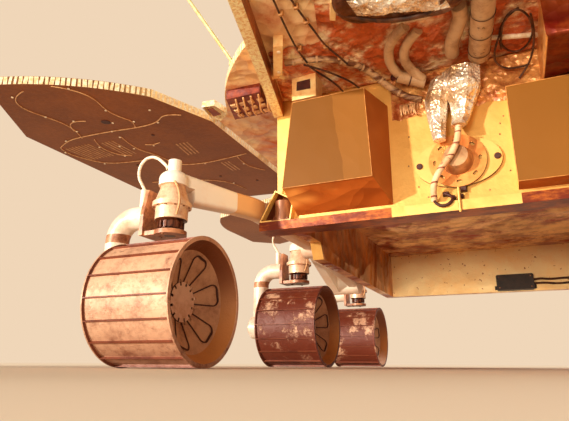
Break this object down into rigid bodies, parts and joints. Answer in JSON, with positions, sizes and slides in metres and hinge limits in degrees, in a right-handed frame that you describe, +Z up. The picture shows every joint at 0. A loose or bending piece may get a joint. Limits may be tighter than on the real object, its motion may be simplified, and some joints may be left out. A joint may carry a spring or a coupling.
{
  "type": "planetary rover",
  "caption": "Planetary rover on rocker-bogie arms with steered ribbed wheels, a gold foil body, fold-up honeycomb wings, a camera mast and antennas.",
  "frame": {"origin": "on the ground under the middle of the machine's box", "axes": "+X to the rover's left, -Y to its front end, +Z up"},
  "size_m": [2.3118, 1.86, 1.477],
  "materials": {
    "gold_foil": "crumpled gold foil",
    "gold_plate": "satin gold plate",
    "hood_foil": "taut bronze foil",
    "gold_metal": "satin",
    "honeycomb": "sandwich panel",
    "solar_panel": "solar cells over a brown back",
    "black_box": "matte",
    "dark_foil": "dark bronze foil",
    "white_paint": "satin white",
    "arm_paint": "satin cream white",
    "rod_metal": "satin",
    "drive_metal": "satin",
    "taped_hose": "tape-wrapped hose",
    "silver_foil": "crumpled silver tape",
    "cable_sheath": "pale cable",
    "wheel_metal": "dusty satin metal"
  },
  "bodies": {
    "root": {"body": "gold_foil", "front_flange": "gold_plate", "hood_right": "hood_foil", "hood_left": "hood_foil", "shoulder_plate": "gold_plate", "shoulder_fitting": "gold_metal", "corner_fitting_right": "gold_plate", "corner_fitting_left": "gold_plate", "front_rails": "honeycomb", "deck": "honeycomb", "belly_sensor": "black_box", "rear_sensor": "black_box", "mast_canister": "dark_foil", "mast_column": "white_paint", "antenna_post": "white_paint", "low_gain_antenna": "white_paint", "rod_antenna": "rod_metal", "rocker_right": "arm_paint", "rocker_left": "arm_paint", "bogie_right": "arm_paint", "bogie_left": "arm_paint", "steering_drives_right": "arm_paint", "steering_drives_left": "arm_paint", "front_bay": "hood_foil", "junction_boxes": "gold_plate", "conduits": "taped_hose", "harness": "taped_hose", "foil_wrap": "silver_foil", "shoulder_strand": "taped_hose", "drive_cables": "cable_sheath"},
    "steer_front_right": {"fork_front_right": "arm_paint", "drive_front_right": "drive_metal"},
    "wheel_front_right": {"wheel_front_right": "wheel_metal"},
    "steer_middle_right": {"fork_middle_right": "arm_paint", "drive_middle_right": "drive_metal"},
    "wheel_middle_right": {"wheel_middle_right": "wheel_metal"},
    "steer_rear_right": {"fork_rear_right": "arm_paint", "drive_rear_right": "drive_metal"},
    "wheel_rear_right": {"wheel_rear_right": "wheel_metal"},
    "wing_front_right": {"wing_front_right": "solar_panel"},
    "wing_rear_right": {"wing_rear_right": "solar_panel"},
    "steer_front_left": {"fork_front_left": "arm_paint", "drive_front_left": "drive_metal"},
    "wheel_front_left": {"wheel_front_left": "wheel_metal"},
    "steer_middle_left": {"fork_middle_left": "arm_paint", "drive_middle_left": "drive_metal"},
    "wheel_middle_left": {"wheel_middle_left": "wheel_metal"},
    "steer_rear_left": {"fork_rear_left": "arm_paint", "drive_rear_left": "drive_metal"},
    "wheel_rear_left": {"wheel_rear_left": "wheel_metal"},
    "wing_front_left": {"wing_front_left": "solar_panel"},
    "wing_rear_left": {"wing_rear_left": "solar_panel"},
    "mast_head": {"mast_head": "white_paint"},
    "camera_bar": {"camera_bar": "white_paint"},
    "antenna_yoke": {"antenna_yoke": "white_paint"},
    "antenna_dish": {"antenna_dish": "white_paint"}
  },
  "joints": [
    {"name": "steering_front_right", "type": "hinge", "parent": "root", "child": "steer_front_right", "pos_m": [-0.5475, -0.705, 0.3], "axis": [0, 0, 1], "range_deg": [-55, 55]},
    {"name": "wheel_spin_front_right", "type": "hinge", "parent": "steer_front_right", "child": "wheel_front_right", "pos_m": [-0.5475, -0.705, 0.125], "axis": [1, 0, 0], "continuous": true},
    {"name": "steering_middle_right", "type": "hinge", "parent": "root", "child": "steer_middle_right", "pos_m": [-0.5475, 0, 0.3], "axis": [0, 0, 1], "range_deg": [-55, 55]},
    {"name": "wheel_spin_middle_right", "type": "hinge", "parent": "steer_middle_right", "child": "wheel_middle_right", "pos_m": [-0.5475, 0, 0.125], "axis": [1, 0, 0], "continuous": true},
    {"name": "steering_rear_right", "type": "hinge", "parent": "root", "child": "steer_rear_right", "pos_m": [-0.5475, 0.705, 0.3], "axis": [0, 0, 1], "range_deg": [-55, 55]},
    {"name": "wheel_spin_rear_right", "type": "hinge", "parent": "steer_rear_right", "child": "wheel_rear_right", "pos_m": [-0.5475, 0.705, 0.125], "axis": [1, 0, 0], "continuous": true},
    {"name": "wing_fold_front_right", "type": "hinge", "parent": "root", "child": "wing_front_right", "pos_m": [-0.603, 0, 0.67], "axis": [0, 1, 0], "range_deg": [0, 90]},
    {"name": "wing_fold_rear_right", "type": "hinge", "parent": "root", "child": "wing_rear_right", "pos_m": [-0.603, 0, 0.67], "axis": [0, 1, 0], "range_deg": [0, 90]},
    {"name": "steering_front_left", "type": "hinge", "parent": "root", "child": "steer_front_left", "pos_m": [0.5475, -0.705, 0.3], "axis": [0, 0, 1], "range_deg": [-55, 55]},
    {"name": "wheel_spin_front_left", "type": "hinge", "parent": "steer_front_left", "child": "wheel_front_left", "pos_m": [0.5475, -0.705, 0.125], "axis": [1, 0, 0], "continuous": true},
    {"name": "steering_middle_left", "type": "hinge", "parent": "root", "child": "steer_middle_left", "pos_m": [0.5475, 0, 0.3], "axis": [0, 0, 1], "range_deg": [-55, 55]},
    {"name": "wheel_spin_middle_left", "type": "hinge", "parent": "steer_middle_left", "child": "wheel_middle_left", "pos_m": [0.5475, 0, 0.125], "axis": [1, 0, 0], "continuous": true},
    {"name": "steering_rear_left", "type": "hinge", "parent": "root", "child": "steer_rear_left", "pos_m": [0.5475, 0.705, 0.3], "axis": [0, 0, 1], "range_deg": [-55, 55]},
    {"name": "wheel_spin_rear_left", "type": "hinge", "parent": "steer_rear_left", "child": "wheel_rear_left", "pos_m": [0.5475, 0.705, 0.125], "axis": [1, 0, 0], "continuous": true},
    {"name": "wing_fold_front_left", "type": "hinge", "parent": "root", "child": "wing_front_left", "pos_m": [0.603, 0, 0.67], "axis": [0, -1, 0], "range_deg": [0, 90]},
    {"name": "wing_fold_rear_left", "type": "hinge", "parent": "root", "child": "wing_rear_left", "pos_m": [0.603, 0, 0.67], "axis": [0, -1, 0], "range_deg": [0, 90]},
    {"name": "mast_pan", "type": "hinge", "parent": "root", "child": "mast_head", "pos_m": [0, -0.77, 1.3403], "axis": [0, 0, 1], "range_deg": [-170, 170]},
    {"name": "mast_tilt", "type": "hinge", "parent": "mast_head", "child": "camera_bar", "pos_m": [0, -0.77, 1.44], "axis": [1, 0, 0], "range_deg": [-60, 60]},
    {"name": "antenna_turn", "type": "hinge", "parent": "root", "child": "antenna_yoke", "pos_m": [0.3, 0.48, 0.8603], "axis": [0, 0, 1], "range_deg": [-170, 170]},
    {"name": "antenna_tilt", "type": "hinge", "parent": "antenna_yoke", "child": "antenna_dish", "pos_m": [0.3, 0.48, 0.9223], "axis": [1, 0, 0], "range_deg": [-75, 0]}
  ]
}
